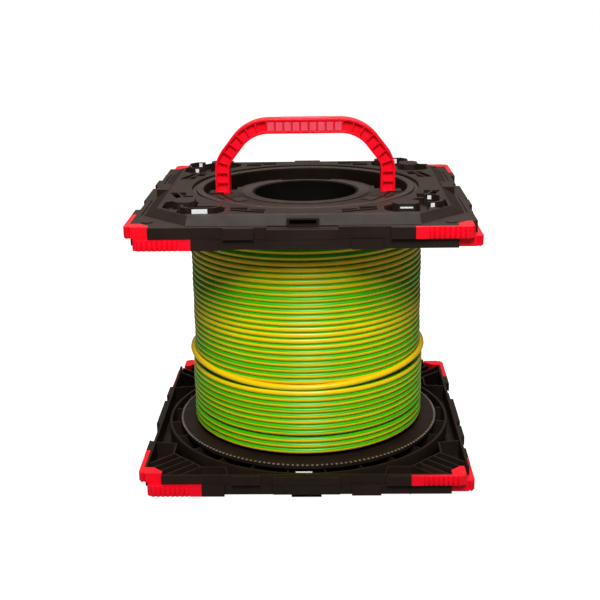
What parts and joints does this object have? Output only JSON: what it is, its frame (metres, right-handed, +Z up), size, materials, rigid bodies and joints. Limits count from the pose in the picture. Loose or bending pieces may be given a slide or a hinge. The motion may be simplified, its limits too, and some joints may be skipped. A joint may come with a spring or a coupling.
{
  "type": "stackable wire spool",
  "caption": "Wire spool turning between square interlocking stacking plates, with red corner bumpers, a fold-down carrying handle and a wound yellow-green earth wire.",
  "frame": {"origin": "centre of the spool's bore, on the surface that the lower plate's bosses stand on", "axes": "+Z up along the spool's axis, -Y towards the front, +X to the right; the handle is upright at rest and folds towards +Y"},
  "size_m": [0.401, 0.401, 0.4348],
  "materials": {
    "black_plastic": "fine moulded grain, satin",
    "ring_plastic": "fine moulded grain, satin",
    "red_plastic": "satin moulded",
    "grip_rubber": "soft matte",
    "pale_plastic": "satin",
    "bearing_plastic": "smooth",
    "dark_steel": "blackened",
    "steel": "zinc plated",
    "brass": "turned",
    "wire_insulation": "glossy yellow and green stripes"
  },
  "bodies": {
    "base": {"base_plate": "black_plastic", "base_bumper_a": "red_plastic", "base_bumper_b": "red_plastic", "base_bumper_c": "red_plastic", "base_bumper_d": "red_plastic", "base_dock_inserts": "pale_plastic", "base_glide_ring": "bearing_plastic"},
    "spool": {"barrel": "black_plastic", "core_tube": "black_plastic", "lower_flange": "black_plastic", "upper_flange": "black_plastic", "lower_hub_cap": "black_plastic", "upper_hub_cap": "black_plastic", "lower_retaining_ring": "ring_plastic", "upper_retaining_ring": "ring_plastic", "lower_ring_screws": "dark_steel", "upper_ring_screws": "dark_steel", "tie_rods": "steel", "tie_inserts": "brass", "handle_pins": "steel", "handle_retainers": "black_plastic", "wire_inner_turns": "wire_insulation", "wire_lower_turns": "wire_insulation", "wire_upper_turns": "wire_insulation"},
    "top": {"top_plate": "black_plastic", "top_bumper_a": "red_plastic", "top_bumper_b": "red_plastic", "top_bumper_c": "red_plastic", "top_bumper_d": "red_plastic", "top_dock_inserts": "pale_plastic", "top_glide_ring": "bearing_plastic"},
    "handle": {"handle_bow": "red_plastic", "handle_grip_insert": "grip_rubber"}
  },
  "joints": [
    {"name": "spool_spin", "type": "hinge", "parent": "base", "child": "spool", "pos_m": [0, 0, 0.178], "axis": [0, 0, 1], "continuous": true},
    {"name": "top_plate_spin", "type": "hinge", "parent": "spool", "child": "top", "pos_m": [0, 0, 0.335], "axis": [0, 0, 1], "continuous": true},
    {"name": "handle_fold", "type": "hinge", "parent": "spool", "child": "handle", "pos_m": [0, 0, 0.335], "axis": [-1, 0, 0], "range_deg": [0, 90]}
  ]
}
